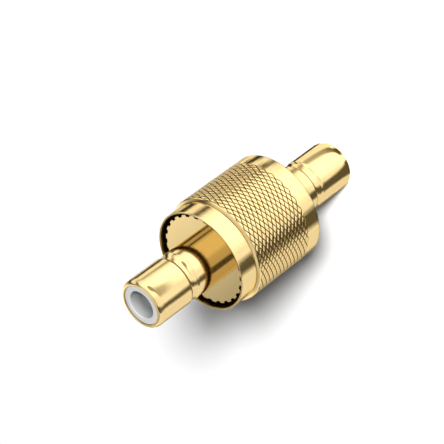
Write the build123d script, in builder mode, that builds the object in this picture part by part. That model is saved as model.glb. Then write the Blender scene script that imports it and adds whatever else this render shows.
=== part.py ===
from build123d import *
import os

os.makedirs("parts", exist_ok=True)

# A straight coaxial adapter with a push-on jack at each end of a knurled grip.
# It stands on its rear nose: z is zero there and runs along the axis to the front nose.
# All sizes are millimetres.

# Push-on barrel, the same at both ends
barrel_radius = 1.85
barrel_wall = 0.35
nose_length = 0.50
nose_rounding = 0.24
nose_chamfer = 0.03
tip_length = 3.15
groove_width = 0.80
groove_depth = 0.10
rear_stem_length = 2.50
front_stem_length = 2.35

# Knurled grip
grip_radius = 4.10
grip_edge_chamfer = 0.06
plain_band_length = 1.25
knurl_length = 5.10
knurl_depth = 0.07
grip_front_chamfer = 0.10

# Thin lip that stands round the front flange
lip_step = 0.24
lip_length = 1.55
lip_wall = 0.14
lip_chamfer = 0.03
mouth_depth = 1.10
mouth_shoulder = 0.21
recess_depth = 0.30

# Splined flange of the front barrel, pressed into the grip
spline_teeth = 26
spline_depth = 0.16
spline_gap_at_root = 0.30
spline_gap_at_tip = 0.46
spline_lead_in = 0.16
spline_face_chamfer = 0.03
flange_length = 2.50

# Insulators
socket_radius = 1.04
socket_depth = 3.40
insulator_recess = 0.08
head_radius = 2.30
rear_head_length = 2.00
front_head_length = 1.20
socket_edge_chamfer = 0.06

# Centre contact
pin_radius = 0.25
pin_point_rounding = 0.18
pin_recess = 1.00
contact_radius = 0.45
collar_radius = 0.80
collar_length = 0.80

# Clearances between pieces
fit_gap = 0.01
end_gap = 0.02

# Radii that follow from the walls and steps
bore_radius = barrel_radius - barrel_wall
lip_radius = grip_radius - lip_step
mouth_radius = lip_radius - lip_wall
press_radius = mouth_radius - mouth_shoulder
spline_tip_radius = press_radius - fit_gap
spline_root_radius = spline_tip_radius - spline_depth
knurl_mean_radius = grip_radius - knurl_depth / 2

# Heights along the axis
rear_groove_z = tip_length
rear_stem_z = rear_groove_z + groove_width
grip_z = rear_stem_z + rear_stem_length
knurl_z = grip_z + plain_band_length
knurl_end_z = knurl_z + knurl_length
lip_z = knurl_end_z + grip_front_chamfer
rim_z = lip_z + lip_length
flange_face_z = rim_z - recess_depth
seat_z = flange_face_z - flange_length
head_shoulder_z = seat_z - rear_head_length
front_z = flange_face_z + front_stem_length + groove_width + tip_length


def snap_barrel(stem_length):
    """One push-on barrel with its nose on z = 0: tip, snap groove and plain stem."""
    flat_outer = barrel_radius - nose_rounding
    groove_end = tip_length + groove_width
    barrel_top = groove_end + stem_length
    with BuildPart() as barrel:
        with BuildSketch(Plane.XZ):
            with BuildLine():
                Line((bore_radius + nose_chamfer, 0), (flat_outer, 0))
                EllipticalCenterArc(
                    (flat_outer, nose_length), nose_rounding, nose_length, start_angle=270, arc_size=90
                )
                Line((barrel_radius, nose_length), (barrel_radius, tip_length))
                ThreePointArc(
                    (barrel_radius, tip_length),
                    (barrel_radius - groove_depth, tip_length + groove_width / 2),
                    (barrel_radius, groove_end),
                )
                Polyline(
                    (barrel_radius, groove_end),
                    (barrel_radius, barrel_top),
                    (bore_radius, barrel_top),
                    (bore_radius, nose_chamfer),
                    (bore_radius + nose_chamfer, 0),
                )
            make_face()
        revolve(axis=Axis.Z)
    return barrel.part


def insulator(sleeve_length, head_length, pocket_depth):
    """One insulator with its socket mouth on z = 0 and its head, with the collar pocket, at the top."""
    sleeve_outer = bore_radius - fit_gap
    head_outer = head_radius - fit_gap
    hole_radius = contact_radius + fit_gap
    pocket_radius = collar_radius + fit_gap
    top = sleeve_length + head_length
    with BuildPart() as piece:
        with BuildSketch(Plane.XZ):
            with BuildLine():
                Polyline(
                    (socket_radius + socket_edge_chamfer, 0),
                    (sleeve_outer, 0),
                    (sleeve_outer, sleeve_length),
                    (head_outer, sleeve_length),
                    (head_outer, top),
                    (pocket_radius, top),
                    (pocket_radius, top - pocket_depth),
                    (hole_radius, top - pocket_depth),
                    (hole_radius, socket_depth),
                    (socket_radius, socket_depth),
                    (socket_radius, socket_edge_chamfer),
                    close=True,
                )
            make_face()
        revolve(axis=Axis.Z)
    return piece.part


def turned_end_for_end(shape):
    """The shape turned over, from a nose on z = 0 to a nose on the front plane."""
    return Pos(0, 0, front_z) * Rot(180, 0, 0) * shape


# Knurled body: grip and rear barrel turned in one piece, bored from the front.
# The fine diamond knurl is left as a plain band at its mean radius.
rear_barrel = snap_barrel(rear_stem_length)
mouth_floor_z = rim_z - mouth_depth

with BuildPart() as knurled_body:
    with BuildSketch(Plane.XZ):
        with BuildLine():
            Polyline(
                (bore_radius, grip_z),
                (grip_radius, grip_z),
                (grip_radius, knurl_z),
                (knurl_mean_radius, knurl_z),
                (knurl_mean_radius, knurl_end_z),
                (grip_radius, knurl_end_z),
                (grip_radius - grip_front_chamfer, lip_z),
                (lip_radius, lip_z),
                (lip_radius, rim_z),
                (mouth_radius, rim_z),
                (mouth_radius, mouth_floor_z),
                (press_radius, mouth_floor_z),
                (press_radius, seat_z),
                (head_radius, seat_z),
                (head_radius, head_shoulder_z),
                (bore_radius, head_shoulder_z),
                close=True,
            )
        make_face()
    revolve(axis=Axis.Z)
    grip_rings = knurled_body.edges().filter_by(GeomType.CIRCLE).group_by(Axis.Z)
    chamfer(grip_rings[0].sort_by(SortBy.RADIUS)[-1], grip_edge_chamfer)
    chamfer(grip_rings[-1], lip_chamfer)
    add(rear_barrel)
knurled_body.part.label = "knurled_body"

# Front barrel: push-on barrel with a splined flange, pressed into the grip. The teeth have a
# long lead-in at the seat and end almost square in the recess, where they are seen.
front_snap = turned_end_for_end(snap_barrel(front_stem_length))
spline_cutter_reach = 2 * spline_depth
gap_growth = (spline_gap_at_tip - spline_gap_at_root) / 2 * spline_cutter_reach / spline_depth

with BuildPart() as front_barrel:
    with BuildSketch(Plane.XY.offset(seat_z)):
        Circle(spline_tip_radius)
        Circle(bore_radius, mode=Mode.SUBTRACT)
        with PolarLocations(spline_root_radius, spline_teeth):
            Polygon(
                (0, -spline_gap_at_root / 2),
                (spline_cutter_reach, -spline_gap_at_root / 2 - gap_growth),
                (spline_cutter_reach, spline_gap_at_root / 2 + gap_growth),
                (0, spline_gap_at_root / 2),
                align=None,
                mode=Mode.SUBTRACT,
            )
    extrude(amount=flange_length)
    for end_z, inward, size in (
        (seat_z, 1, spline_lead_in),
        (flange_face_z, -1, spline_face_chamfer),
    ):
        with BuildSketch(Plane.XZ):
            with BuildLine():
                Polyline(
                    (spline_tip_radius - size, end_z),
                    (spline_tip_radius + size, end_z),
                    (spline_tip_radius + size, end_z + 2 * inward * size),
                    close=True,
                )
            make_face()
        revolve(axis=Axis.Z, mode=Mode.SUBTRACT)
    with BuildSketch(Plane.XY.offset(seat_z)):
        Circle(head_radius)
    extrude(amount=front_head_length, mode=Mode.SUBTRACT)
    add(front_snap)
front_barrel.part.label = "front_barrel"

# Insulators: a sleeve in each barrel and a head that is trapped inside the grip, with a
# thin gap between the two heads and between each head's pocket and the collar
half_gap = end_gap / 2
pocket_depth = collar_length / 2 + half_gap
rear_sleeve_length = head_shoulder_z - insulator_recess
rear_piece = insulator(rear_sleeve_length, rear_head_length - half_gap, pocket_depth)
rear_insulator = Pos(0, 0, insulator_recess) * rear_piece
rear_insulator.label = "rear_insulator"

front_sleeve_length = front_z - insulator_recess - (seat_z + front_head_length)
front_piece = insulator(front_sleeve_length, front_head_length - half_gap, pocket_depth)
front_insulator = turned_end_for_end(Pos(0, 0, insulator_recess) * front_piece)
front_insulator.label = "front_insulator"

# Centre contact: a pin at each end, a thicker line between them and a trapped collar
pin_shoulder = insulator_recess + socket_depth
collar_bottom_z = seat_z - collar_length / 2
collar_top_z = seat_z + collar_length / 2

with BuildPart() as centre_contact:
    with BuildSketch(Plane.XZ):
        with BuildLine():
            Polyline(
                (0, pin_recess),
                (pin_radius, pin_recess),
                (pin_radius, pin_shoulder),
                (contact_radius, pin_shoulder),
                (contact_radius, collar_bottom_z),
                (collar_radius, collar_bottom_z),
                (collar_radius, collar_top_z),
                (contact_radius, collar_top_z),
                (contact_radius, front_z - pin_shoulder),
                (pin_radius, front_z - pin_shoulder),
                (pin_radius, front_z - pin_recess),
                (0, front_z - pin_recess),
                close=True,
            )
        make_face()
    revolve(axis=Axis.Z)
    pin_ends = centre_contact.edges().filter_by(GeomType.CIRCLE).group_by(Axis.Z)
    fillet(pin_ends[0] + pin_ends[-1], pin_point_rounding)
centre_contact.part.label = "centre_contact"

export_step(knurled_body.part, "parts/knurled_body.step")
export_step(front_barrel.part, "parts/front_barrel.step")
export_step(rear_insulator, "parts/rear_insulator.step")
export_step(front_insulator, "parts/front_insulator.step")
export_step(centre_contact.part, "parts/centre_contact.step")
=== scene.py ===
"""Looks of a small push-on coaxial adapter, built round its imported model.

Sizes are in millimetres in the classes below, and in metres once they reach a mesh.
"""
import logging
import math
from dataclasses import dataclass, field
from enum import Enum
from typing import Callable

import bmesh
import bpy
from mathutils import Matrix, Vector


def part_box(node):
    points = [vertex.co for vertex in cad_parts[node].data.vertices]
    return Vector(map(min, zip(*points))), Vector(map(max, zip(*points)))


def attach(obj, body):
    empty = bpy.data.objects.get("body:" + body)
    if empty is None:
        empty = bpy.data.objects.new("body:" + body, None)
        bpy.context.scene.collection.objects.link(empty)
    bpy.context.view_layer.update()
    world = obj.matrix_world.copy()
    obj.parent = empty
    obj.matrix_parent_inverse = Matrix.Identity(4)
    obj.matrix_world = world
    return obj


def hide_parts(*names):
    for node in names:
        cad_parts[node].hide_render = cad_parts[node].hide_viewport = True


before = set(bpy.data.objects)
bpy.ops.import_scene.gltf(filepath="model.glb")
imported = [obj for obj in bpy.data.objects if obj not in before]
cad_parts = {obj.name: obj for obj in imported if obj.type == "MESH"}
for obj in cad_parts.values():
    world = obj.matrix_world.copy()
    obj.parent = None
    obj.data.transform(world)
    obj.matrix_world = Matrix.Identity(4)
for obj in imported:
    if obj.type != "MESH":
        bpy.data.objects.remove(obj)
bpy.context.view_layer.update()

MM = 0.001
BODY = "root"

TOUCHING = 1e-6
ON_THE_CUT = 1e-4
# Full painted shade, as at the bottom of a gap.
FULL_SHADE = 1.0
WHITE = (1.0, 1.0, 1.0)

Span = tuple[float, float]
Colour = tuple[float, float, float]
Socket = bpy.types.NodeSocket
Feed = Socket | float | tuple[float, ...]
Inputs = dict[str | int, Feed]
Vert = bmesh.types.BMVert
Element = bmesh.types.BMFace | bmesh.types.BMEdge | Vert
Ring = list[Vert]
OutlinePoint = tuple[float, float, float]
Shaper = Callable[[float, float], Span]

log = logging.getLogger("adapter")


class Slot(Enum):
    """Names of the record's material slots, one for each kind of finish."""

    GOLD = "gold_plate"
    INSULATOR = "white_insulator"
    CONTACT = "contact_gold"


def node_box(node: str) -> tuple[Vector, Vector]:
    """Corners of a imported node, in millimetres.

    Args:
        node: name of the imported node.

    Returns:
        Its lowest and its highest corner.
    """
    low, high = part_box(node)
    return low / MM, high / MM


def place(name: str, data: bpy.types.ID) -> bpy.types.Object:
    """Put a new object in the scene.

    Args:
        name: the object's name.
        data: its mesh, light or camera.

    Returns:
        The object.
    """
    made = bpy.data.objects.new(name, data)
    bpy.context.scene.collection.objects.link(made)
    return made


def held(share: float) -> float:
    """A share, held between 0 and 1."""
    return min(1.0, max(0.0, share))


def solid(colour: Colour) -> tuple[float, ...]:
    """A colour as a shader takes it, with full cover."""
    return (*colour, 1.0)


# Shader nodes


class NodeTree:
    """A short way to place and link shader nodes."""

    def __init__(self, tree: bpy.types.NodeTree) -> None:
        """Keep the tree that nodes are added to."""
        self.tree = tree

    def feed(self, node: bpy.types.Node, inputs: Inputs) -> None:
        """Link or set inputs of a node.

        Args:
            node: the node.
            inputs: for an input's name or number, the output to link or a plain value.
        """
        for label, value in inputs.items():
            if isinstance(value, Socket):
                self.tree.links.new(value, node.inputs[label])
            else:
                node.inputs[label].default_value = value

    def add(self, kind: str, inputs: Inputs | None = None, **settings: object) -> bpy.types.Node:
        """Place one node.

        Args:
            kind: the node's Blender type name.
            inputs: what feeds its inputs.
            settings: attributes to set on it.

        Returns:
            The new node.
        """
        node = self.tree.nodes.new(kind)
        for name, value in settings.items():
            setattr(node, name, value)
        self.feed(node, inputs or {})
        return node

    def math(self, operation: str, first: Feed, second: Feed) -> Socket:
        """Output of a Math node that takes two values."""
        return self.add("ShaderNodeMath", {0: first, 1: second}, operation=operation).outputs[0]

    def mix(self, data_type: str, share: Feed, first: Feed, second: Feed) -> Socket:
        """Mix two colours or two numbers.

        Args:
            data_type: RGBA for colours, FLOAT for numbers.
            share: share of the second one.
            first: a socket or a plain value.
            second: a socket or a plain value.

        Returns:
            The mixture.
        """
        inputs = {"Factor": share, "A": first, "B": second}
        return self.add("ShaderNodeMix", inputs, data_type=data_type).outputs["Result"]

    def map_range(self, value: Feed, source: Span, target: Span = (0.0, 1.0), way: str = "LINEAR") -> Socket:
        """Carry a value from one range to another.

        Args:
            value: the value.
            source: the range that it comes from.
            target: the range that it is carried to.
            way: how the stretch between the ends runs.

        Returns:
            The carried value.
        """
        ends = dict(zip(("From Min", "From Max", "To Min", "To Max"), (*source, *target)))
        return self.add("ShaderNodeMapRange", {"Value": value, **ends}, interpolation_type=way).outputs[0]

    def attribute(self, name: str) -> Socket:
        """A number that the mesh carries at each vertex."""
        return self.add("ShaderNodeAttribute", attribute_name=name).outputs["Fac"]

    def rays(self) -> tuple[Socket, Socket]:
        """Marks of the camera's rays, and of those that a surface mirrors or lets through."""
        path = self.add("ShaderNodeLightPath").outputs
        return path["Is Camera Ray"], self.math("MAXIMUM", path["Is Glossy Ray"], path["Is Transmission Ray"])


def new_material(name: str) -> tuple[bpy.types.Material, NodeTree]:
    """Make a node material.

    Args:
        name: its name.

    Returns:
        The material and a NodeTree on it.
    """
    made = bpy.data.materials.new(name)
    made.use_nodes = True
    return made, NodeTree(made.node_tree)


def new_group(name: str, inputs: dict[str, float], outputs: list[str]) -> NodeTree:
    """Make an empty shader group with a vector input, number inputs and number outputs.

    Args:
        name: the group's name.
        inputs: name and default value of each number input.
        outputs: name of each output.

    Returns:
        A NodeTree on the group.
    """
    group = bpy.data.node_groups.new(name, "ShaderNodeTree")
    group.interface.new_socket("Place", in_out="INPUT", socket_type="NodeSocketVector")
    for label, value in inputs.items():
        socket = group.interface.new_socket(label, in_out="INPUT", socket_type="NodeSocketFloat")
        socket.default_value = value
    for label in outputs:
        group.interface.new_socket(label, in_out="OUTPUT", socket_type="NodeSocketFloat")
    return NodeTree(group)


def turning_marks_group() -> bpy.types.NodeTree:
    """Fine rings that a lathe tool leaves round the axis.

    Returns:
        A group with the height of the rings and a mask of brighter and duller rings.
    """
    detail = 3.0
    bright_to_dull = (0.35, 0.65)
    nodes = new_group("turning_marks", {"Rings per mm": 12.0, "Wander": 0.6}, ["Height", "Mask"])
    entry = nodes.add("NodeGroupInput").outputs
    along = nodes.add("ShaderNodeSeparateXYZ", {0: entry["Place"]}).outputs
    flat = nodes.add("ShaderNodeCombineXYZ", {"X": along["X"], "Y": along["Y"]}).outputs[0]
    radius = nodes.add("ShaderNodeVectorMath", {0: flat}, operation="LENGTH").outputs["Value"]
    direction = nodes.add("ShaderNodeVectorMath", {0: flat}, operation="NORMALIZE").outputs[0]
    around = nodes.add("ShaderNodeSeparateXYZ", {0: direction}).outputs
    rings_per_metre = nodes.math("MULTIPLY", entry["Rings per mm"], 1.0 / MM)
    spread = {
        "X": nodes.math("MULTIPLY", radius, rings_per_metre),
        "Y": nodes.math("MULTIPLY", around["X"], entry["Wander"]),
        "Z": nodes.math("MULTIPLY", around["Y"], entry["Wander"]),
    }
    wave = {
        "Vector": nodes.add("ShaderNodeCombineXYZ", spread).outputs[0],
        "W": nodes.math("MULTIPLY", along["Z"], rings_per_metre),
        "Scale": 1.0,
        "Detail": detail,
    }
    height = nodes.add("ShaderNodeTexNoise", wave, noise_dimensions="4D").outputs["Fac"]
    nodes.add("NodeGroupOutput", {"Height": height, "Mask": nodes.map_range(height, bright_to_dull)})
    return nodes.tree


def soft_cloud_group() -> bpy.types.NodeTree:
    """Slow clouds that keep a surface from looking all one value.

    Returns:
        A group with one cloudy mask.
    """
    detail = 2.0
    nodes = new_group("soft_cloud", {"Clouds per mm": 0.6}, ["Mask"])
    entry = nodes.add("NodeGroupInput").outputs
    scale = nodes.math("MULTIPLY", entry["Clouds per mm"], 1.0 / MM)
    noise = nodes.add("ShaderNodeTexNoise", {"Vector": entry["Place"], "Scale": scale, "Detail": detail})
    nodes.add("NodeGroupOutput", {"Mask": noise.outputs["Fac"]})
    return nodes.tree


@dataclass
class SharedGroups:
    """The shader groups, each built once."""

    marks: bpy.types.NodeTree = field(default_factory=turning_marks_group)
    cloud: bpy.types.NodeTree = field(default_factory=soft_cloud_group)


# Finishes


@dataclass(frozen=True)
class TurnedFinish:
    """A finish with faint rings from the lathe, and shade painted into gaps and hollows.

    Colours are the plain one, the one that shows unevenly over it, and the painted shade for gaps and
    hollows.
    Roughness is the plain one, what the rings add and what a deep place adds.
    """

    name: str
    colour: Colour
    uneven_colour: Colour
    painted_shade_colour: Colour
    roughness: float
    ring_roughness: float
    deep_roughness: float
    rings_per_mm: float
    ring_height: float

    def unevenness(self, nodes: NodeTree, rings: Socket, cloud: Socket) -> Socket:
        """Where the uneven colour shows: in the clouds."""
        return cloud

    def own_inputs(self) -> Inputs:
        """Shader inputs that this finish alone sets."""
        return {}

    def material(self, groups: SharedGroups) -> bpy.types.Material:
        """Build the node material.

        Args:
            groups: the shared shader groups.

        Returns:
            The finished material.
        """
        made, nodes = new_material(self.name)
        where = nodes.add("ShaderNodeTexCoord").outputs["Object"]
        ring_inputs = {"Place": where, "Rings per mm": self.rings_per_mm}
        marks = nodes.add("ShaderNodeGroup", ring_inputs, node_tree=groups.marks).outputs
        cloud = nodes.add("ShaderNodeGroup", {"Place": where}, node_tree=groups.cloud).outputs["Mask"]
        # Mask of painted shade, carried on the vertices: it darkens the colour in gaps, grooves and hollows
        # where shade would fall.
        shade_mask = nodes.attribute("painted_shade")

        uneven = self.unevenness(nodes, marks["Mask"], cloud)
        face = nodes.mix("RGBA", uneven, solid(self.colour), solid(self.uneven_colour))
        rings = nodes.math("MULTIPLY", marks["Mask"], self.ring_roughness)
        dull = nodes.math("MULTIPLY", shade_mask, self.deep_roughness)
        bump = nodes.add("ShaderNodeBump", {"Distance": self.ring_height * MM, "Height": marks["Height"]})
        shader_inputs = {
            "Base Color": nodes.mix("RGBA", shade_mask, face, solid(self.painted_shade_colour)),
            "Roughness": nodes.math("ADD", nodes.math("ADD", rings, self.roughness), dull),
            "Normal": bump.outputs["Normal"],
        }
        nodes.feed(made.node_tree.nodes["Principled BSDF"], {**shader_inputs, **self.own_inputs()})
        return made


@dataclass(frozen=True)
class GoldFinish(TurnedFinish):
    """Gold plate on a turned part, with slow clouds in the plate."""

    colour: Colour = (1.0, 0.765, 0.37)
    uneven_colour: Colour = (0.98, 0.735, 0.335)
    # Painted shade in gaps and hollows, not a colour of the plate itself.
    painted_shade_colour: Colour = (0.08, 0.058, 0.014)
    roughness: float = 0.08
    ring_roughness: float = 0.05
    deep_roughness: float = 0.25
    rings_per_mm: float = 14.0
    ring_height: float = 0.0003
    glancing_colour: Colour = (1.0, 0.88, 0.66)

    def own_inputs(self) -> Inputs:
        """Metal, with a paler colour where it is seen at a glancing angle."""
        return {"Metallic": 1.0, "Specular Tint": solid(self.glancing_colour)}


@dataclass(frozen=True)
class InsulatorFinish(TurnedFinish):
    """White waxy insulator with faint rings from the lathe."""

    name: str = "white_turned_insulator"
    colour: Colour = (0.55, 0.555, 0.545)
    uneven_colour: Colour = (0.48, 0.485, 0.475)
    # Painted shade deep in the socket.
    painted_shade_colour: Colour = (0.12, 0.13, 0.13)
    roughness: float = 0.38
    ring_roughness: float = 0.18
    deep_roughness: float = 0.0
    rings_per_mm: float = 9.0
    ring_height: float = 0.004
    scatter: float = 0.12
    scatter_reach: float = 0.25

    def unevenness(self, nodes: NodeTree, rings: Socket, cloud: Socket) -> Socket:
        """Where the uneven colour shows: in the rings, as far as the clouds let them."""
        return nodes.math("MULTIPLY", rings, cloud)

    def own_inputs(self) -> Inputs:
        """Light that goes a little way into the wax."""
        return {"Subsurface Weight": self.scatter, "Subsurface Scale": self.scatter_reach * MM}


# Outlines and turned meshes


@dataclass
class Corner:
    """One corner of an outline, with the rounding that a tool or the plating leaves there."""

    radius: float
    height: float
    rounding: float = 0.0
    # Painted shade at this corner, from 0 in the open to 1 deep in a gap.
    shade: float = 0.0


class Outline:
    """An outline in the plane of radius and height, from which a turned mesh is made."""

    rounding_steps = 5
    support_reach = 0.03
    hollow_steps = 32
    steep_shoulder = 6
    easy_shoulder = 2
    edge_line = 0.035
    edge_line_end = 1.6
    nearly_straight = 175.0
    longest_share = 0.45
    held_from = 3
    # A thin line of painted shade along a groove's upper shoulder, standing in for shade and a dark
    # reflection.
    groove_shade = 0.85
    shade_from = 0.68
    shade_fade = 0.16

    def __init__(self) -> None:
        """Start with no corners."""
        self.corners: list[Corner] = []

    def to(self, radius: float, height: float, rounding: float = 0.0, shade: float = 0.0) -> None:
        """Go straight to a corner.

        Args:
            radius: distance from the axis.
            height: place along the axis.
            rounding: radius of the rounding at this corner.
            shade: how much shade is painted on the plate there, from 0 in the open to 1 deep in a gap.
        """
        self.corners.append(Corner(radius, height, rounding, shade))

    def ellipse(self, centre: Span, reach: Span, start: float, end: float, steps: int = 16) -> None:
        """Follow part of an ellipse.

        Args:
            centre: its centre, as radius and height.
            reach: its half axes along the radius and along the height.
            start: angle of the first point, in degrees.
            end: angle of the last point, in degrees.
            steps: number of stretches.
        """
        for step in range(steps + 1):
            angle = math.radians(start + (end - start) * step / steps)
            self.to(centre[0] + reach[0] * math.cos(angle), centre[1] + reach[1] * math.sin(angle))

    def hollow(self, radius: float, start: float, end: float, depth: float) -> None:
        """Follow a shallow groove with a steep upper shoulder, an easy lower one and painted shade along the
        upper one.

        Args:
            radius: radius of the wall that the groove is cut in.
            start: height where the groove begins.
            end: height where it ends.
            depth: depth of the groove at its middle.
        """
        way = 1.0 if end > start else -1.0
        first_shade = self.groove_shade if way < 0 else 0.0
        last_shade = self.groove_shade if way > 0 else 0.0
        line_end = way * self.edge_line_end * self.edge_line
        self.to(radius, start - line_end)
        self.to(radius, start - way * self.edge_line, shade=first_shade)
        for step in range(self.hollow_steps + 1):
            along = -math.cos(math.pi * step / self.hollow_steps)
            rise = way * along
            shoulder = self.steep_shoulder if rise > 0 else self.easy_shoulder
            sunk = depth * (1.0 - abs(along) ** shoulder)
            shade = self.groove_shade * held((rise - self.shade_from) / self.shade_fade)
            self.to(radius - sunk, (start + end) / 2 + along * (end - start) / 2, shade=shade)
        self.to(radius, end + way * self.edge_line, shade=last_shade)
        self.to(radius, end + line_end)

    def _rounded(self, before: Corner, here: Corner, after: Corner) -> list[OutlinePoint]:
        """Points of one corner, rounded by an arc and held by a point on each side.

        Args:
            before: the corner before it.
            here: the corner itself.
            after: the corner after it.

        Returns:
            Points as radius, height and shade.
        """
        point = Vector((here.radius, here.height))
        back = Vector((before.radius, before.height)) - point
        ahead = Vector((after.radius, after.height)) - point
        if here.rounding <= 0 or min(back.length, ahead.length) < TOUCHING:
            return [(*point, here.shade)]
        turn = back.angle(ahead)
        if turn > math.radians(self.nearly_straight):
            return [(*point, here.shade)]
        longest = self.longest_share * min(back.length, ahead.length)
        reach = min(here.rounding / math.tan(turn / 2), longest)
        start = point + back.normalized() * reach
        end = point + ahead.normalized() * reach
        bisector = (back.normalized() + ahead.normalized()).normalized()
        centre = point + bisector * (reach / math.cos(turn / 2))
        first = start - centre
        sweep = math.pi - turn
        side = 1.0 if first.x * (end - centre).y - first.y * (end - centre).x > 0 else -1.0
        points = []
        if back.length - reach > self.held_from * self.support_reach:
            points.append((*(start + back.normalized() * self.support_reach), here.shade))
        for step in range(self.rounding_steps + 1):
            angle = side * sweep * step / self.rounding_steps
            radius = centre.x + first.x * math.cos(angle) - first.y * math.sin(angle)
            height = centre.y + first.x * math.sin(angle) + first.y * math.cos(angle)
            points.append((radius, height, here.shade))
        if ahead.length - reach > self.held_from * self.support_reach:
            points.append((*(end + ahead.normalized() * self.support_reach), here.shade))
        return points

    def points(self, closed: bool) -> list[OutlinePoint]:
        """All points of the outline.

        Args:
            closed: True if the last corner joins the first.

        Returns:
            Points as radius, height and shade, with no two in one place.
        """
        found: list[OutlinePoint] = []
        last = len(self.corners) - 1
        for index, here in enumerate(self.corners):
            if not closed and index in (0, last):
                found.append((here.radius, here.height, here.shade))
                continue
            before = self.corners[index - 1]
            after = self.corners[(index + 1) % (last + 1)]
            found.extend(self._rounded(before, here, after))
        clean = [found[0]]
        for point in found[1:]:
            if math.dist(point[:2], clean[-1][:2]) > TOUCHING:
                clean.append(point)
        return clean


def even_angles(count: int) -> list[float]:
    """Angles of evenly spaced columns, in radians."""
    return [2 * math.pi * index / count for index in range(count)]


def on_ring(radius: float, angle: float, height: float) -> tuple[float, float, float]:
    """Place on a ring round the axis, in metres, from a radius and a height in millimetres."""
    return radius * math.cos(angle) * MM, radius * math.sin(angle) * MM, height * MM


def angle_of(vert: Vert) -> float:
    """Angle of a vertex round the axis, in radians."""
    return math.atan2(vert.co.y, vert.co.x)


class TurnedMesh:
    """A mesh made by turning an outline round the axis."""

    sharp_from = 32.0

    def __init__(self, name: str, angles: list[float]) -> None:
        """Keep the name and the angles of the columns, in radians.

        Args:
            name: name of the piece.
            angles: angle of each column of vertices.
        """
        self.name = name
        self.angles = angles
        self.work = bmesh.new()
        # Per-vertex mask of painted shade, from 0 in the open to 1 deep in a gap.
        self.painted_shade = self.work.verts.layers.float.new("painted_shade")

    def ring(self, point: OutlinePoint, shaper: Shaper | None) -> Ring:
        """Place one ring of vertices.

        Args:
            point: radius, height and shade of the ring, in millimetres.
            shaper: gives the radius and the added shade at an angle, where the ring isn't round.

        Returns:
            The ring's vertices, or a single one on the axis.
        """
        radius, height, shade = point
        if radius < TOUCHING:
            return [self.work.verts.new((0.0, 0.0, height * MM))]
        made = []
        for angle in self.angles:
            reach, added = shaper(radius, angle) if shaper else (radius, 0.0)
            vert = self.work.verts.new(on_ring(reach, angle, height))
            vert[self.painted_shade] = max(shade, added)
            made.append(vert)
        return made

    def bridge(self, lower: Ring, upper: Ring) -> None:
        """Join two rings with faces.

        Args:
            lower: one ring, or a single vertex on the axis.
            upper: the other, or a single vertex on the axis.
        """
        count = len(self.angles)
        for column in range(count):
            following = (column + 1) % count
            if len(lower) == 1:
                corners = [lower[0], upper[following], upper[column]]
            elif len(upper) == 1:
                corners = [lower[column], lower[following], upper[0]]
            else:
                corners = [lower[column], lower[following], upper[following], upper[column]]
            self.work.faces.new(corners)

    def turn(self, outline: Outline, closed: bool, shaper: Shaper | None = None) -> tuple[Ring, Ring]:
        """Turn an outline round the axis.

        Args:
            outline: the outline.
            closed: True if its last corner joins its first.
            shaper: gives the radius and the added shade at an angle, where the piece isn't round.

        Returns:
            The first and the last ring.
        """
        rings = [self.ring(point, shaper) for point in outline.points(closed)]
        for lower, upper in zip(rings, rings[1:]):
            self.bridge(lower, upper)
        if closed:
            self.bridge(rings[-1], rings[0])
        return rings[0], rings[-1]

    def zip_rings(self, first: Ring, second: Ring) -> None:
        """Join two rings whose vertices stand at different angles with a band of triangles.

        Args:
            first: one ring.
            second: the other ring.
        """
        one = sorted(first, key=angle_of)
        two = sorted(second, key=angle_of)

        def reached(ring: Ring, passed: int) -> float:
            """Angle of the vertex that comes after so many passed ones, counted on over a whole turn."""
            return angle_of(ring[passed % len(ring)]) + 2 * math.pi * (passed // len(ring))

        of_one = of_two = 0
        while of_one < len(one) or of_two < len(two):
            here = one[of_one % len(one)]
            there = two[of_two % len(two)]
            one_comes_first = reached(one, of_one + 1) <= reached(two, of_two + 1)
            if of_two >= len(two) or (of_one < len(one) and one_comes_first):
                of_one += 1
                corner = one[of_one % len(one)]
            else:
                of_two += 1
                corner = two[of_two % len(two)]
            self.work.faces.new([here, corner, there])

    def finish(self, material: bpy.types.Material, slot: Slot, *nodes: str) -> None:
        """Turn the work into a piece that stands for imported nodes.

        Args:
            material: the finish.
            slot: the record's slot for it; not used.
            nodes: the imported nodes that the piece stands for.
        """
        bmesh.ops.recalc_face_normals(self.work, faces=self.work.faces)
        mesh = bpy.data.meshes.new(self.name)
        self.work.to_mesh(mesh)
        self.work.free()
        mesh.shade_smooth()
        mesh.set_sharp_from_angle(angle=math.radians(self.sharp_from))
        mesh.materials.append(material)
        piece = place(self.name, mesh)
        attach(piece, BODY)
        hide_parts(*nodes)
        log.info("%s: %d faces, stands for %s", self.name, len(mesh.polygons), ", ".join(nodes))


# Pieces


@dataclass
class PushOnBarrel:
    """Sizes of the barrel that both ends share."""

    radius: float = 1.85
    bore: float = 1.50
    nose_length: float = 0.50
    nose_rounding: float = 0.24
    nose_chamfer: float = 0.03
    tip_length: float = 3.15
    groove_width: float = 0.80
    groove_depth: float = 0.10
    edge: float = 0.02
    nose_edge: float = 0.01
    # Painted shade at the bore's mouth: a dark ring round the insulator.
    bore_shade: float = 0.45

    def outside(self, outline: Outline, nose: float, way: float) -> None:
        """Follow the barrel's outside from its stem to the bore's mouth.

        Args:
            outline: the outline to add to.
            nose: height of the nose's end face.
            way: 1 if the barrel stands above its nose, -1 if it hangs below it.
        """
        groove_far = nose + way * (self.tip_length + self.groove_width)
        groove_near = nose + way * self.tip_length
        outline.hollow(self.radius, groove_far, groove_near, self.groove_depth)
        outline.to(self.radius, nose + way * (self.nose_length + outline.support_reach))
        flat = self.radius - self.nose_rounding
        centre = (flat, nose + way * self.nose_length)
        outline.ellipse(centre, (self.nose_rounding, self.nose_length), 0, -90 * way)
        outline.to(self.bore + self.nose_chamfer, nose, self.nose_edge)
        outline.to(self.bore, nose + way * self.nose_chamfer, self.nose_edge, self.bore_shade)


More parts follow.
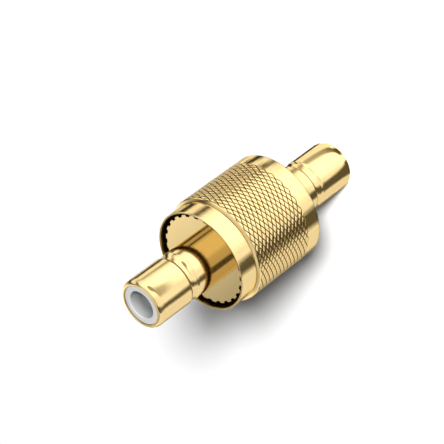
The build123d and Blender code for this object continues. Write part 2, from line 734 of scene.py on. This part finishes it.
@dataclass
class DiamondKnurl:
    """Two crossing families of grooves, pressed round the grip.

    Bottom, flank and shoulder are where these end, as shares of a pitch from the groove's middle.
    """

    radius: float
    low: float
    high: float
    starts: int = 32
    pitch: float = 0.376
    depth: float = 0.07
    run_out: float = 0.03
    bottom: float = 0.042
    flank: float = 0.108
    shoulder: float = 0.155
    shoulder_share: float = 0.08
    spare_cells: int = 2

    def _lines(self) -> list[float]:
        """Places of the mesh lines within one pitch."""
        half = [self.bottom, self.flank, self.shoulder]
        return half + [0.5] + [1 - line for line in reversed(half)]

    def _sunk(self, phase: float) -> float:
        """Share of the full depth at a place across a groove.

        Args:
            phase: the place, where whole numbers are groove middles.

        Returns:
            The share, from 0 on the crest to 1 at the bottom.
        """
        off = abs(phase - round(phase))
        if off <= self.bottom:
            return 1.0
        if off <= self.flank:
            return 1.0 - (1.0 - self.shoulder_share) * (off - self.bottom) / (self.flank - self.bottom)
        return max(0.0, self.shoulder_share * (self.shoulder - off) / (self.shoulder - self.flank))

    def depth_at(self, angle: float, height: float) -> float:
        """Depth of the knurl below its crest.

        Args:
            angle: angle round the axis, in radians.
            height: place along the axis.

        Returns:
            The depth in millimetres.
        """
        around = self.starts * angle / (2 * math.pi)
        along = height / self.pitch
        sunk = max(self._sunk(around + along), self._sunk(around - along))
        end = min(height - self.low, self.high - height)
        return self.depth * sunk * held(end / self.run_out)

    def _net(self, work: bmesh.types.BMesh) -> list[Element]:
        """Lay a net of lines along both families of grooves, a little past the band's ends.

        Args:
            work: the mesh that takes the net.

        Returns:
            The net's faces, edges and vertices.
        """
        lines = self._lines()
        per_cell = len(lines)
        around_total = per_cell * self.starts
        made: dict[tuple[int, int], Vert] = {}

        def phase_of(line: int) -> float:
            """Phase of a mesh line that is counted from zero."""
            return line // per_cell + lines[line % per_cell]

        def vert(right: int, left: int) -> Vert:
            """Find or make the vertex where two mesh lines cross.

            Args:
                right: number of the line that leans to the right.
                left: number of the line that leans to the left.

            Returns:
                The vertex.
            """
            laps = (right + left) // (2 * around_total)
            key = (right - laps * around_total, left - laps * around_total)
            if key not in made:
                first = phase_of(key[0])
                second = phase_of(key[1])
                angle = math.pi * (first + second) / self.starts
                made[key] = work.verts.new(on_ring(self.radius, angle, self.pitch * (first - second) / 2))
            return made[key]

        lowest = math.floor(2 * self.low / self.pitch) - self.spare_cells
        highest = math.ceil(2 * self.high / self.pitch) + self.spare_cells
        faces = []
        for total in range(2 * around_total):
            for difference in range(lowest * per_cell, highest * per_cell):
                if (total + difference) % 2:
                    continue
                right = (total + difference) // 2
                left = (total - difference) // 2
                corners = ((right, left), (right + 1, left), (right + 1, left + 1), (right, left + 1))
                faces.append(work.faces.new([vert(*corner) for corner in corners]))
        edges = dict.fromkeys(edge for face in faces for edge in face.edges)
        return [*faces, *edges, *made.values()]

    def _cut(self, work: bmesh.types.BMesh, net: list[Element]) -> Ring:
        """Cut the net off at the band's ends, and across where the grooves begin to run out.

        Args:
            work: the mesh that holds the net.
            net: its faces, edges and vertices.

        Returns:
            The vertices of the band.
        """
        cuts = (
            (self.low, -1, True),
            (self.high, 1, True),
            (self.low + self.run_out, 1, False),
            (self.high - self.run_out, 1, False),
        )
        for height, side, clear in cuts:
            whole = [item for item in net if item.is_valid]
            plane = {"plane_co": (0, 0, height * MM), "plane_no": (0, 0, side)}
            net = bmesh.ops.bisect_plane(work, geom=whole, clear_outer=clear, **plane)["geom"]
        return [item for item in net if isinstance(item, Vert)]

    def build(self, turned: TurnedMesh) -> tuple[Ring, Ring]:
        """Add the knurled band to a turned mesh, with shade painted into its grooves.

        Args:
            turned: the mesh that takes the band.

        Returns:
            The band's lower and upper ring of vertices.
        """
        band = self._cut(turned.work, self._net(turned.work))
        for vert in band:
            angle = angle_of(vert)
            sunk = self.depth_at(angle, vert.co.z / MM)
            reach = (self.radius - sunk) * MM
            vert.co.x = reach * math.cos(angle)
            vert.co.y = reach * math.sin(angle)
            # Shade painted into the knurl's grooves, darkest at their bottoms.
            vert[turned.painted_shade] = sunk / self.depth
        lower = [vert for vert in band if abs(vert.co.z / MM - self.low) < ON_THE_CUT]
        upper = [vert for vert in band if abs(vert.co.z / MM - self.high) < ON_THE_CUT]
        return lower, upper


@dataclass
class GripBody:
    """The knurled grip with its thin lip and the rear barrel, turned in one piece.

    The step behind the lip rises a little towards it, so that it mirrors the room and not the lip.
    """

    barrel: PushOnBarrel
    columns: int = 288
    edge_chamfer: float = 0.06
    plain_band: float = 1.25
    knurl_length: float = 5.10
    step_rise: float = 0.07
    step_fall: float = 0.018
    front_chamfer: float = 0.053
    lip_step: float = 0.24
    lip_length: float = 1.55
    lip_wall: float = 0.14
    mouth_depth: float = 1.10
    mouth_shoulder: float = 0.21
    mouth_rounding: float = 0.05
    rim_edge: float = 0.03
    foot_shadow: float = 0.03
    recess: float = 0.30
    head_radius: float = 2.30
    rear_head: float = 2.00
    rear_stem: float = 2.50
    seam: float = 0.012
    # Painted shade, from 0 to 1, at the grip's rear edge, the rear barrel's foot, the mouth's wall and rim
    # and the step behind the lip, standing in for shade and dark reflections.
    back_shade: float = 0.8
    chamfer_shade: float = 0.9
    barrel_foot_shade: float = 0.6
    mouth_shade: float = 0.82
    rim_shade: float = 0.6
    lip_foot_shade: float = 0.7
    step_line_shade: float = 0.2

    def build(self, material: bpy.types.Material) -> None:
        """Build and dress the piece.

        Args:
            material: its finish.
        """
        low, high = node_box("knurled_body")
        seat = node_box("front_barrel")[0].z
        grip = high.x
        rim = high.z
        back = low.z + self.barrel.tip_length + self.barrel.groove_width + self.rear_stem
        knurl_low = back + self.plain_band
        knurl_high = knurl_low + self.knurl_length
        lip_start = rim - self.lip_length
        lip = grip - self.lip_step
        mouth = lip - self.lip_wall
        press = mouth - self.mouth_shoulder
        edge = self.barrel.edge
        foot = lip_start + self.step_rise
        outline = Outline()
        outline.to(grip, knurl_low - self.seam)
        outline.to(grip, back + 2 * self.edge_chamfer)
        # Painted shade along the grip's rear edge and the rear barrel's foot.
        outline.to(grip, back + self.edge_chamfer, shade=self.back_shade)
        outline.to(grip - self.edge_chamfer, back, edge, self.chamfer_shade)
        outline.to(self.barrel.radius, back, edge, self.barrel_foot_shade)
        self.barrel.outside(outline, low.z, 1.0)
        outline.to(self.barrel.bore, seat - self.rear_head)
        outline.to(self.head_radius, seat - self.rear_head)
        outline.to(self.head_radius, seat)
        # Painted shade in the trench between the mouth and the flange, fading up the mouth's wall to the rim.
        outline.to(press, seat, shade=FULL_SHADE)
        outline.to(press, rim - self.mouth_depth, edge, FULL_SHADE)
        outline.to(mouth, rim - self.mouth_depth, edge, FULL_SHADE)
        outline.to(mouth, rim - self.recess, shade=self.mouth_shade)
        outline.to(mouth, rim, self.mouth_rounding, self.rim_shade)
        outline.to(lip, rim, self.rim_edge)
        # A thin line of painted shade at the foot of the step behind the lip.
        outline.to(lip, foot + 2 * self.foot_shadow)
        outline.to(lip, foot, shade=self.lip_foot_shade)
        outline.to(lip + self.foot_shadow, foot - self.foot_shadow / 2, shade=self.step_line_shade)
        outline.to(lip + 2 * self.foot_shadow, foot - self.foot_shadow)
        outline.to(grip - self.front_chamfer, lip_start - self.step_fall)
        outline.to(grip - self.seam, knurl_high + self.seam)
        turned = TurnedMesh("grip_with_rear_barrel", even_angles(self.columns))
        first, last = turned.turn(outline, closed=False)
        lower, upper = DiamondKnurl(grip, knurl_low, knurl_high).build(turned)
        turned.zip_rings(first, lower)
        turned.zip_rings(last, upper)
        turned.finish(material, Slot.GOLD, "knurled_body")


@dataclass
class SplinedBarrel:
    """The front barrel, whose splined flange is pressed into the grip."""

    barrel: PushOnBarrel
    teeth: int = 26
    spline_depth: float = 0.16
    gap_at_root: float = 0.30
    gap_at_tip: float = 0.46
    flange_length: float = 2.50
    face_chamfer: float = 0.03
    face_edge: float = 0.006
    head_radius: float = 2.30
    head_depth: float = 1.20
    # Painted shade on the lands' outer sides and their edge; the gaps between lands get full painted shade.
    land_shade: float = 0.97
    land_edge_shade: float = 0.7

    def _half_angles(self, tip: float) -> Span:
        """Half the angle of a gap at its root and at its mouth."""
        root = tip - self.spline_depth
        return math.asin(self.gap_at_root / 2 / root), math.asin(self.gap_at_tip / 2 / tip)

    def angles(self, tip: float) -> list[float]:
        """Angles of the columns, closer where a gap's sides stand.

        Args:
            tip: radius of the splines' lands.

        Returns:
            Angles in radians.
        """
        at_root, at_tip = self._half_angles(tip)
        tooth = 2 * math.pi / self.teeth
        land = tooth - 2 * at_tip
        quarters = [at_tip + quarter * land / 4 for quarter in range(4)]
        offsets = [-at_root, 0.0, at_root, *quarters, tooth - at_tip]
        starts = [index * tooth for index in range(self.teeth)]
        return sorted((start + offset) % (2 * math.pi) for start in starts for offset in offsets)

    def build(self, material: bpy.types.Material) -> None:
        """Build and dress the piece.

        Args:
            material: its finish.
        """
        low, high = node_box("front_barrel")
        seat = low.z
        tip = high.y
        root = tip - self.spline_depth
        face = seat + self.flange_length
        at_root, at_tip = self._half_angles(tip)
        tooth = 2 * math.pi / self.teeth

        def splined(radius: float, angle: float) -> Span:
            """Let the lands stand proud of the gaps, with shade painted into the gaps.

            Args:
                radius: radius of the ring on the lands.
                angle: angle round the axis, in radians.

            Returns:
                The radius and the added painted shade at that angle.
            """
            if radius <= root:
                return radius, 0.0
            off = abs((angle + tooth / 2) % tooth - tooth / 2)
            share = held((off - at_root) / (at_tip - at_root))
            return root + (radius - root) * share, 1.0 - share

        outline = Outline()
        outline.to(self.barrel.bore, seat + self.head_depth)
        outline.to(self.head_radius, seat + self.head_depth)
        outline.to(self.head_radius, seat)
        outline.to(root, seat)
        # Painted shade down the lands' outer sides, fading out at the face.
        outline.to(tip, seat + self.spline_depth, shade=FULL_SHADE)
        outline.to(tip, face - 3 * self.face_chamfer, shade=self.land_shade)
        outline.to(tip, face - self.face_chamfer, shade=self.land_edge_shade)
        outline.to(tip - self.face_chamfer, face)
        outline.to(root - self.face_edge, face)
        outline.to(self.barrel.radius, face)
        self.barrel.outside(outline, high.z, -1.0)
        turned = TurnedMesh("front_barrel_with_splines", self.angles(tip))
        turned.turn(outline, closed=True, shaper=splined)
        turned.finish(material, Slot.GOLD, "front_barrel")


@dataclass
class Insulator:
    """A white insulator with a socket at the nose and a head inside the grip."""

    name: str
    node: str
    nose_up: bool
    socket: float = 1.04
    socket_depth: float = 3.40
    mouth_chamfer: float = 0.06
    sleeve: float = 1.49
    head: float = 2.29
    head_length: float = 2.00
    hole: float = 0.46
    pocket: float = 0.81
    pocket_depth: float = 0.41
    half_gap: float = 0.01
    # Painted shade deep in the socket and at its mouth.
    shade_depth: float = 0.9
    mouth_shade: float = 0.35
    columns: int = 160
    edge: float = 0.02

    def build(self, material: bpy.types.Material) -> None:
        """Build and dress the piece.

        Args:
            material: its finish.
        """
        low, high = node_box(self.node)
        mouth = high.z if self.nose_up else low.z
        way = -1.0 if self.nose_up else 1.0
        far = low.z if self.nose_up else high.z
        shoulder = far - way * (self.head_length - self.half_gap)
        outline = Outline()
        outline.to(self.socket + self.mouth_chamfer, mouth, self.edge)
        outline.to(self.sleeve, mouth, self.edge)
        outline.to(self.sleeve, shoulder)
        outline.to(self.head, shoulder)
        outline.to(self.head, far)
        outline.to(self.pocket, far)
        outline.to(self.pocket, far - way * self.pocket_depth)
        outline.to(self.hole, far - way * self.pocket_depth)
        # Full painted shade at the socket's bottom and down its wall, less at its mouth.
        outline.to(self.hole, mouth + way * self.socket_depth, shade=FULL_SHADE)
        outline.to(self.socket, mouth + way * self.socket_depth, shade=FULL_SHADE)
        outline.to(self.socket, mouth + way * self.shade_depth, shade=FULL_SHADE)
        outline.to(self.socket, mouth + way * self.mouth_chamfer, self.edge, self.mouth_shade)
        turned = TurnedMesh(self.name, even_angles(self.columns))
        turned.turn(outline, closed=True)
        turned.finish(material, Slot.INSULATOR, self.node)


@dataclass
class CentreContact:
    """The double-ended pin with its thicker middle and trapped collar."""

    pin: float = 0.25
    point_rounding: float = 0.18
    pin_length: float = 2.48
    line: float = 0.45
    collar: float = 0.80
    collar_length: float = 0.80
    columns: int = 64
    point_steps: int = 6

    def build(self, material: bpy.types.Material) -> None:
        """Build and dress the piece.

        Args:
            material: its finish.
        """
        low, high = node_box("centre_contact")
        seat = node_box("front_barrel")[0].z
        flat = self.pin - self.point_rounding
        reach = (self.point_rounding, self.point_rounding)
        outline = Outline()
        outline.to(0.0, low.z)
        outline.ellipse((flat, low.z + self.point_rounding), reach, -90, 0, self.point_steps)
        outline.to(self.pin, low.z + self.pin_length)
        outline.to(self.line, low.z + self.pin_length)
        outline.to(self.line, seat - self.collar_length / 2)
        outline.to(self.collar, seat - self.collar_length / 2)
        outline.to(self.collar, seat + self.collar_length / 2)
        outline.to(self.line, seat + self.collar_length / 2)
        outline.to(self.line, high.z - self.pin_length)
        outline.to(self.pin, high.z - self.pin_length)
        outline.ellipse((flat, high.z - self.point_rounding), reach, 0, 90, self.point_steps)
        outline.to(0.0, high.z)
        turned = TurnedMesh("double_ended_pin", even_angles(self.columns))
        turned.turn(outline, closed=False)
        turned.finish(material, Slot.CONTACT, "centre_contact")


# Studio


@dataclass(frozen=True)
class CardEdge:
    """Where the two edges of a floor card show on the adapter, as the camera sees them mirrored.

    Angles run round the axis from the side of the camera, in degrees. The card is as thick there
    as its cover says, from 0 for clear to 1 for solid.
    """

    radius: float
    height: float
    first: float
    last: float
    cover: float = 1.0


@dataclass(frozen=True)
class FloorCard:
    """A card that lies on the floor beside the adapter and shows in its polish alone."""

    name: str
    edges: tuple[CardEdge, ...]
    brightness: float
    softness: float = 3.0
    colour: Colour = WHITE
    far: bool = True


# Radii and heights of the adapter that the cards' edges are set at
UNDER_NOSE = 1.45
BARREL = 1.85
GRIP = 4.1
REAR_STEM = 5.6
GRIP_BACK = 6.45
LIP_RIM = 14.45
FRONT_STEM = 15.5
FRONT_NOSE = 20.45
PAST_NOSE = 30.0

BROWN = (1.0, 0.85, 0.5)
OLIVE = (1.0, 0.9, 0.65)
STRAW = (1.0, 0.95, 0.8)


def edges_on(radius: float, *rows: tuple[float, ...]) -> tuple[CardEdge, ...]:
    """Card edges at one radius, where each row is a height, two angles and perhaps a cover."""
    return tuple(CardEdge(radius, *row) for row in rows)


def all_along(rear: Span, grip: Span, lip: Span, front: Span) -> tuple[CardEdge, ...]:
    """Edges of a card that shows along the whole adapter.

    Args:
        rear: its two angles on the rear barrel.
        grip: its two angles at the rear of the grip.
        lip: its two angles on the lip.
        front: its two angles at the front nose.

    Returns:
        The edges from the rear nose to the front one.
    """
    return (
        edges_on(UNDER_NOSE, (0.0, *rear))
        + edges_on(BARREL, (0.5, *rear), (REAR_STEM, *rear))
        + edges_on(GRIP, (GRIP_BACK, *grip), (LIP_RIM, *lip))
        + edges_on(BARREL, (FRONT_STEM, *lip), (FRONT_NOSE, *front), (PAST_NOSE, *front))
    )


FLOOR_CARDS = (
    FloorCard("far_side_card", all_along((-110, -76), (-110, -70), (-110, -69), (-110, -71)), 0.24, 6.0),
    FloorCard("soft_card", all_along((-70, -45), (-70, -44), (-70, -39), (-70, -38)), 0.88, 4.0),
    FloorCard("bright_card", all_along((-10, 30), (-8, 24), (-8, 34), (0, 36)), 1.62, 7.0),
    FloorCard(
        "dark_card",
        edges_on(UNDER_NOSE, (0.0, -48, -8))
        + edges_on(BARREL, (0.3, -47, -12), (0.7, -45, -18), (1.6, -43.5, -22), (REAR_STEM, -43, -24))
        + edges_on(GRIP, (GRIP_BACK, -41, -21.5), (LIP_RIM, -38.5, -23.5))
        + edges_on(BARREL, (FRONT_STEM, -38.5, -24.5), (FRONT_NOSE, -36.5, -26.5), (PAST_NOSE, -36.5, -26.5)),
        0.11, 3.0, OLIVE,
    ),
    FloorCard(
        "thin_dark_card",
        edges_on(UNDER_NOSE, (0.0, -2, 14))
        + edges_on(BARREL, (0.4, 6, 30), (0.7, 20, 40, 0.9), (1.1, 26, 43, 0.75), (1.6, 30, 46, 0.66))
        + edges_on(BARREL, (2.8, 34, 48, 0.62), (REAR_STEM, 38, 49, 0.7))
        + edges_on(GRIP, (GRIP_BACK, 36, 42), (LIP_RIM, 41, 49))
        + edges_on(BARREL, (FRONT_STEM, 41, 49), (18.0, 43.5, 49, 0.85))
        + edges_on(BARREL, (FRONT_NOSE, 46.5, 50.5, 0.75), (PAST_NOSE, 46.5, 50.5, 0.75)),
        0.12, 3.0, BROWN,
    ),
    FloorCard("side_dim_card", all_along((72, 100), (72, 100), (72, 100), (72, 100)), 0.62, 4.0),
    FloorCard("side_dark_card", all_along((68, 86), (52, 62), (60, 70), (62, 72)), 0.05, 2.0, BROWN),
    FloorCard(
        "nose_dark_card",
        edges_on(BARREL, (18.8, -1, 7), (19.2, -8, 9), (19.6, -11, 12), (20.0, -9, 16))
        + edges_on(BARREL, (22.0, -2, 20), (26.0, 4, 24), (44.0, 9, 24), (80.0, 13, 20)),
        0.40, 2.0, STRAW, far=False,
    ),
)


@dataclass(frozen=True)
class SkyBand:
    """Brightness of the surroundings at one azimuth from the camera's side, in degrees."""

    azimuth: float
    brightness: float


SKY_BANDS = (
    SkyBand(-180, 1.35), SkyBand(-177, 0.6), SkyBand(-160, 0.9), SkyBand(-145, 1.2), SkyBand(-130, 0.9),
    SkyBand(-82, 0.9), SkyBand(-76, 0.12), SkyBand(-54, 0.12), SkyBand(-46, 0.9), SkyBand(-14, 1.0),
    SkyBand(4, 1.4), SkyBand(66, 1.4), SkyBand(82, 0.9), SkyBand(88, 0.15), SkyBand(94, 0.15),
    SkyBand(100, 0.9), SkyBand(116, 0.8), SkyBand(122, 0.12), SkyBand(134, 0.12), SkyBand(140, 0.6),
    SkyBand(160, 1.4), SkyBand(177, 2.2), SkyBand(180, 1.35),
)


@dataclass
class Studio:
    """Floor, cards, lamp, surroundings and camera."""

    floor_reach: float = 600.0
    floor_colour: float = 0.88
    floor_roughness: float = 0.9
    floor_glow: float = 0.02
    card_columns: int = 14
    card_lift: float = 0.02
    card_reach: float = 500.0
    lens: float = 154.27
    sensor_width: float = 36.0
    seen_from: float = 5.0
    seen_to: float = 5000.0
    aim: tuple[float, float, float] = (1.311, 0.0, 11.008)
    camera_distance: float = 132.724
    camera_height_angle: float = 35.101
    camera_roll: float = 126.153
    lamp_strength: float = 5.9
    lamp_spread: float = 10.0
    lamp_side: float = 9.0
    lamp_height_angle: float = 35.0
    room_light: float = 0.08
    sky_full: float = 2.2
    high_sky_share: float = 0.55
    high_sky_rise: Span = (0.36, 0.52)
    overhead_light: float = 1.35
    overhead_rise: Span = (0.72, 0.90)

    def build(self) -> None:
        """Build the whole studio."""
        self._floor()
        for lift, card in enumerate(FLOOR_CARDS, start=1):
            self._card(card, lift * self.card_lift)
        self._lamp()
        self._world()
        self._camera()

    def _back(self) -> Vector:
        """Direction from the aim to the camera."""
        rise = math.radians(self.camera_height_angle)
        return Vector((0.0, -math.cos(rise), math.sin(rise)))

    def _camera_place(self) -> Vector:
        """Place of the camera, in millimetres."""
        return Vector(self.aim) + self._back() * self.camera_distance

    def _mirrored_floor_point(self, radius: float, height: float, angle: float, lift: float) -> Vector:
        """Floor point that the camera sees mirrored in the adapter's side.

        Args:
            radius: radius of the side there.
            height: height on the side.
            angle: angle round the axis from the camera's side, in degrees.
            lift: height of the card above the floor.

        Returns:
            The point, in millimetres.
        """
        turn = math.radians(angle)
        outward = Vector((math.sin(turn), -math.cos(turn), 0.0))
        point = outward * radius + Vector((0.0, 0.0, height))
        sight = (point - self._camera_place()).normalized()
        onward = sight.reflect(outward)
        return point + onward * ((lift - height) / onward.z)

    def _card(self, card: FloorCard, lift: float) -> None:
        """Lay one card on the floor, where only polished metal shows it.

        Args:
            card: the card.
            lift: its height above the floor.
        """
        verts = []
        shares = []
        for edge in card.edges:
            low = edge.first - card.softness
            high = edge.last + card.softness
            for column in range(self.card_columns + 1):
                angle = low + (high - low) * column / self.card_columns
                inside = min(angle - low, high - angle) / (2 * card.softness)
                verts.append(self._mirrored_floor_point(edge.radius, edge.height, angle, lift) * MM)
                shares.append(edge.cover * held(inside))
        wide = self.card_columns + 1
        rows = len(card.edges) - 1
        if card.far:
            rows += 1
            for vert, share in zip(verts[-wide:], shares[-wide:]):
                outward = Vector((vert.x, vert.y, 0.0)).normalized() * self.card_reach * MM
                verts.append(outward + Vector((0.0, 0.0, lift * MM)))
                shares.append(share)
        faces = []
        for row in range(rows):
            for column in range(self.card_columns):
                corner = row * wide + column
                faces.append((corner, corner + 1, corner + wide + 1, corner + wide))
        mesh = bpy.data.meshes.new(card.name)
        mesh.from_pydata(verts, [], faces)
        mesh.attributes.new("share", "FLOAT", "POINT").data.foreach_set("value", shares)
        mesh.materials.append(self._card_material(card))
        made = place(card.name, mesh)
        made.visible_camera = False
        made.visible_diffuse = False
        made.visible_shadow = False
        made.visible_transmission = False

    def _card_material(self, card: FloorCard) -> bpy.types.Material:
        """Make a glow that thins out towards the card's edges.

        Args:
            card: the card.

        Returns:
            Its material.
        """
        made, nodes = new_material(card.name)
        made.node_tree.nodes.remove(made.node_tree.nodes["Principled BSDF"])
        glow = nodes.add("ShaderNodeEmission", {"Color": solid(card.colour), "Strength": card.brightness})
        clear = nodes.add("ShaderNodeBsdfTransparent")
        layers = {"Fac": nodes.attribute("share"), 1: clear.outputs[0], 2: glow.outputs[0]}
        blend = nodes.add("ShaderNodeMixShader", layers)
        nodes.feed(made.node_tree.nodes["Material Output"], {"Surface": blend.outputs[0]})
        return made

    def _floor(self) -> None:
        """A pale floor that shows white and keeps the shadow."""
        made, nodes = new_material("pale_floor")
        glowing = nodes.math("MAXIMUM", *nodes.rays())
        inputs = {
            "Base Color": solid((self.floor_colour,) * 3),
            "Roughness": self.floor_roughness,
            "Specular IOR Level": 0.0,
            "Emission Color": solid(WHITE),
            "Emission Strength": nodes.math("MULTIPLY", glowing, self.floor_glow),
        }
        nodes.feed(made.node_tree.nodes["Principled BSDF"], inputs)
        reach = self.floor_reach * MM
        corners = [(-reach, -reach, 0), (reach, -reach, 0), (reach, reach, 0), (-reach, reach, 0)]
        mesh = bpy.data.meshes.new("floor")
        mesh.from_pydata(corners, [], [(0, 1, 2, 3)])
        mesh.materials.append(made)
        floor = place("floor", mesh)

    def _lamp(self) -> None:
        """A broad far lamp, which lights the floor evenly and throws the shadow."""
        data = bpy.data.lights.new("key_lamp", "SUN")
        data.energy = self.lamp_strength
        data.angle = math.radians(self.lamp_spread)
        lamp = place("key_lamp", data)
        rise = math.radians(self.lamp_height_angle)
        side = math.radians(self.lamp_side)
        towards = Vector((math.sin(side) * math.cos(rise), -math.cos(side) * math.cos(rise), math.sin(rise)))
        lamp.rotation_mode = "QUATERNION"
        lamp.rotation_quaternion = towards.to_track_quat("Z", "Y")
        lamp.visible_glossy = False

    def _world(self) -> None:
        """Pale surroundings with soft boxes and flags for the polish, and plain white for the camera."""
        world = bpy.data.worlds.new("pale_room")
        world.use_nodes = True
        nodes = NodeTree(world.node_tree)
        where = nodes.add("ShaderNodeTexCoord").outputs["Generated"]
        along = nodes.add("ShaderNodeSeparateXYZ", {0: where}).outputs
        turned = {"X": nodes.math("MULTIPLY", along["Y"], -1.0), "Y": along["X"]}
        compass = nodes.add("ShaderNodeCombineXYZ", turned).outputs[0]
        around = nodes.add("ShaderNodeTexGradient", {"Vector": compass}, gradient_type="RADIAL")
        bands = nodes.add("ShaderNodeValToRGB", {"Fac": around.outputs["Fac"]})
        stops = bands.color_ramp.elements
        stops[0].position = 0.0
        stops[1].position = 1.0
        for band in SKY_BANDS[1:-1]:
            stops.new(band.azimuth / 360 + 0.5)
        for stop, band in zip(stops, SKY_BANDS):
            stop.color = solid((band.brightness / self.sky_full,) * 3)
        overhead = nodes.map_range(along["Z"], self.overhead_rise, way="SMOOTHSTEP")
        level = nodes.mix("FLOAT", overhead, bands.outputs["Color"], self.overhead_light / self.sky_full)
        full_to_high = (self.sky_full, self.sky_full * self.high_sky_share)
        scale = nodes.map_range(along["Z"], self.high_sky_rise, full_to_high, "SMOOTHSTEP")
        seen, mirrored = nodes.rays()
        room = nodes.mix("FLOAT", mirrored, self.room_light, nodes.math("MULTIPLY", level, scale))
        shown = nodes.math("MAXIMUM", seen, room)
        nodes.feed(world.node_tree.nodes["Background"], {"Color": solid(WHITE), "Strength": shown})
        bpy.context.scene.world = world

    def _camera(self) -> None:
        """The camera at the photograph's place, turned so that the axis runs across the picture."""
        back = self._back()
        level_right = Vector((1.0, 0.0, 0.0))
        level_up = back.cross(level_right)
        roll = math.radians(self.camera_roll)
        up = level_up * math.cos(roll) + level_right * math.sin(roll)
        right = up.cross(back)
        data = bpy.data.cameras.new("camera")
        data.lens = self.lens
        data.sensor_width = self.sensor_width
        data.clip_start = self.seen_from * MM
        data.clip_end = self.seen_to * MM
        camera = place("camera", data)
        turned = Matrix((right, up, back)).transposed().to_4x4()
        camera.matrix_world = Matrix.Translation(self._camera_place() * MM) @ turned
        bpy.context.scene.camera = camera
        bpy.context.scene.view_settings.view_transform = "Standard"


def main() -> None:
    """Build every piece in order, then the studio."""
    logging.basicConfig(level=logging.INFO, format="%(name)s: %(message)s")
    groups = SharedGroups()
    gold = GoldFinish("gold_plate_turned").material(groups)
    pin_gold = GoldFinish("gold_plate_pin", roughness=0.2).material(groups)
    white = InsulatorFinish().material(groups)
    barrel = PushOnBarrel()
    GripBody(barrel).build(gold)
    SplinedBarrel(barrel).build(gold)
    Insulator("front_insulator_sleeve", "front_insulator", nose_up=True, head_length=1.20).build(white)
    Insulator("rear_insulator_sleeve", "rear_insulator", nose_up=False).build(white)
    CentreContact().build(pin_gold)
    Studio().build()


if __name__ == "__main__":
    main()
